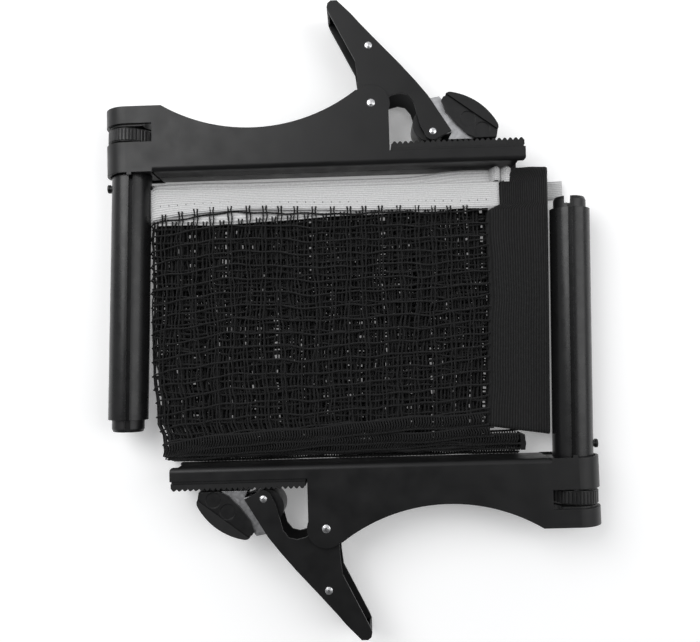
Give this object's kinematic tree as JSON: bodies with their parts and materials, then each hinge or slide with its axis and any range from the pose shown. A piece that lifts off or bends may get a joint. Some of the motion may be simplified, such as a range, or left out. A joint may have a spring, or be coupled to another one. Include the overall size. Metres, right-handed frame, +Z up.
{
  "type": "table tennis net clamp",
  "caption": "Pair of spring clamps with grooved net posts and thumbwheels, packed flat head to tail around a folded net with white tape.",
  "frame": {"origin": "centre of the packed set's bounding box in plan, on the plane that it lies on", "axes": "+Z up, away from the surface the set lies on; +Y along the right clamp's post from foot to cap; +X from the left post to the right post"},
  "size_m": [0.2618, 0.3362, 0.0276],
  "materials": {
    "black_powder_coat": "satin fine texture",
    "black_post_paint": "semi-gloss",
    "zinc_plate": "satin zinc plate",
    "bright_steel": "bright",
    "spring_steel": "oiled",
    "brass": "machined",
    "black_rubber": "matt",
    "black_nylon": "fine moulded",
    "black_net": "knitted twine",
    "white_tape": "ribbed woven tape",
    "black_sleeve_cloth": "ribbed woven"
  },
  "bodies": {
    "root": {"left_frame": "black_powder_coat", "left_strip_carrier": "zinc_plate", "left_jaw_strip": "black_rubber", "left_pivot_rivet": "bright_steel", "left_pivot_washers": "bright_steel", "left_pivot_sleeve": "bright_steel", "left_post_guide": "black_nylon", "left_screw_guide": "black_nylon"},
    "right_clamp": {"right_frame": "black_powder_coat", "right_strip_carrier": "zinc_plate", "right_jaw_strip": "black_rubber", "right_pivot_rivet": "bright_steel", "right_pivot_washers": "bright_steel", "right_pivot_sleeve": "bright_steel", "right_post_guide": "black_nylon", "right_screw_guide": "black_nylon"},
    "net": {"net_mesh": "black_net", "net_tape": "white_tape", "net_tape_folds": "white_tape", "net_tape_roll": "white_tape", "net_end_sleeve": "black_sleeve_cloth", "net_tape_end": "white_tape", "net_hem": "black_net"},
    "left_lever": {"left_lever": "black_powder_coat", "left_handle_rivet": "bright_steel", "left_jaw_rivet": "bright_steel", "left_jaw_block": "black_nylon", "left_spring": "spring_steel"},
    "left_pad": {"left_pad_bracket": "zinc_plate", "left_pad_holder": "black_nylon", "left_pad": "black_rubber"},
    "left_thumbwheel": {"left_thumbwheel": "black_nylon", "left_wheel_nut": "brass"},
    "left_post": {"left_post_tube": "black_post_paint", "left_post_cap": "black_nylon", "left_post_foot": "black_nylon", "left_post_screw": "bright_steel", "left_post_hook": "black_nylon"},
    "right_lever": {"right_lever": "black_powder_coat", "right_handle_rivet": "bright_steel", "right_jaw_rivet": "bright_steel", "right_jaw_block": "black_nylon", "right_spring": "spring_steel"},
    "right_pad": {"right_pad_bracket": "zinc_plate", "right_pad_holder": "black_nylon", "right_pad": "black_rubber"},
    "right_thumbwheel": {"right_thumbwheel": "black_nylon", "right_wheel_nut": "brass"},
    "right_post": {"right_post_tube": "black_post_paint", "right_post_cap": "black_nylon", "right_post_foot": "black_nylon", "right_post_screw": "bright_steel", "right_post_hook": "black_nylon"}
  },
  "joints": [
    {"name": "left_lever_pivot", "type": "hinge", "parent": "root", "child": "left_lever", "pos_m": [0.0148, 0.1108, 0.0135], "axis": [0, 0, 1], "range_deg": [0, 50], "stiffness_Nm_per_rad": 1.2, "springref_deg": -68.75, "deforming": ["left_spring"]},
    {"name": "left_pad_swivel", "type": "hinge", "parent": "left_lever", "child": "left_pad", "pos_m": [0.0472, 0.0952, 0.0135], "axis": [0, 0, 1], "range_deg": [-1, 12]},
    {"name": "left_thumbwheel_turn", "type": "hinge", "parent": "root", "child": "left_thumbwheel", "pos_m": [-0.1159, 0.09885, 0.0135], "axis": [-0.0297, -0.9996, 0], "range_deg": [-720, 720]},
    {"name": "left_post_slide", "type": "slide", "parent": "root", "child": "left_post", "axis": [-0.0297, -0.9996, 0], "range_m": [-0.0025, 0.0025]},
    {"name": "right_lever_pivot", "type": "hinge", "parent": "right_clamp", "child": "right_lever", "pos_m": [-0.0148, -0.1108, 0.0135], "axis": [0, 0, 1], "range_deg": [0, 50], "stiffness_Nm_per_rad": 1.2, "springref_deg": -68.75, "deforming": ["right_spring"]},
    {"name": "right_pad_swivel", "type": "hinge", "parent": "right_lever", "child": "right_pad", "pos_m": [-0.0472, -0.0952, 0.0135], "axis": [0, 0, 1], "range_deg": [-1, 12]},
    {"name": "right_thumbwheel_turn", "type": "hinge", "parent": "right_clamp", "child": "right_thumbwheel", "pos_m": [0.1159, -0.09885, 0.0135], "axis": [0.0297, 0.9996, 0], "range_deg": [-720, 720]},
    {"name": "right_post_slide", "type": "slide", "parent": "right_clamp", "child": "right_post", "axis": [0.0297, 0.9996, 0], "range_m": [-0.0025, 0.0025]},
    {"name": "net_lift", "type": "slide", "parent": "root", "child": "net", "axis": [0, 0, 1], "range_m": [0, 0.06]},
    {"name": "right_clamp_pull", "type": "slide", "parent": "root", "child": "right_clamp", "axis": [0, -1, 0], "range_m": [0, 0.06]}
  ],
  "couplings": [
    {"joint": "left_thumbwheel_turn", "follows": "left_post_slide", "rad_per_m": 5026.5},
    {"joint": "right_thumbwheel_turn", "follows": "right_post_slide", "rad_per_m": 5026.5}
  ]
}
